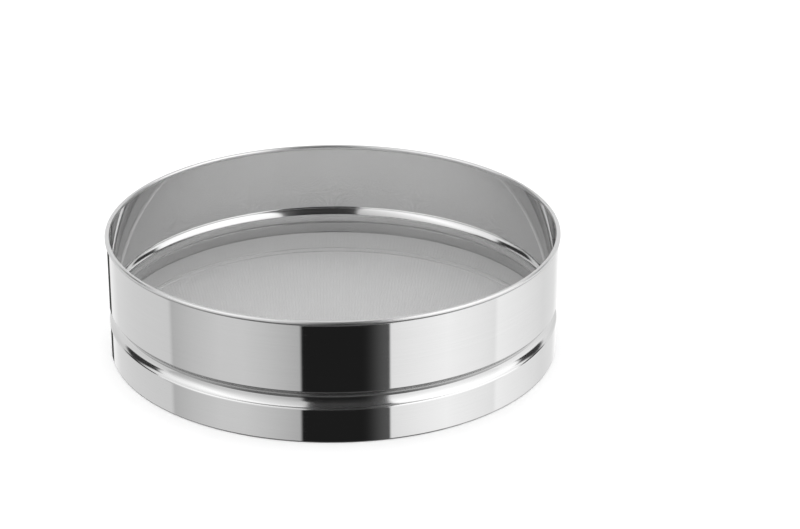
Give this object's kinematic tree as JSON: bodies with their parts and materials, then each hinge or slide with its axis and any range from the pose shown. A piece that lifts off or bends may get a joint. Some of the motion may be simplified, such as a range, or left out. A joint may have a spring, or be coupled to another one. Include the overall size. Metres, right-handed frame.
{
  "type": "soil sieve",
  "caption": "Round polished steel drum sieve: a beaded hoop with a fine woven wire screen clamped in its skirt between a screen ring and a clamp ring.",
  "frame": {"origin": "on the hoop's axis, in the plane that its foot stands on", "axes": "+Z along the hoop's axis, up through the open bowl; X and Y lie in the screen's plane, and the hoop is the same all round"},
  "size_m": [0.3, 0.3, 0.0827],
  "materials": {
    "polished_steel": "polished",
    "ring_steel": "polished",
    "woven_wire": "satin"
  },
  "bodies": {
    "root": {"drum_hoop": "polished_steel", "screen_ring": "ring_steel", "clamp_ring": "ring_steel", "wire_cloth": "woven_wire"}
  },
  "joints": []
}
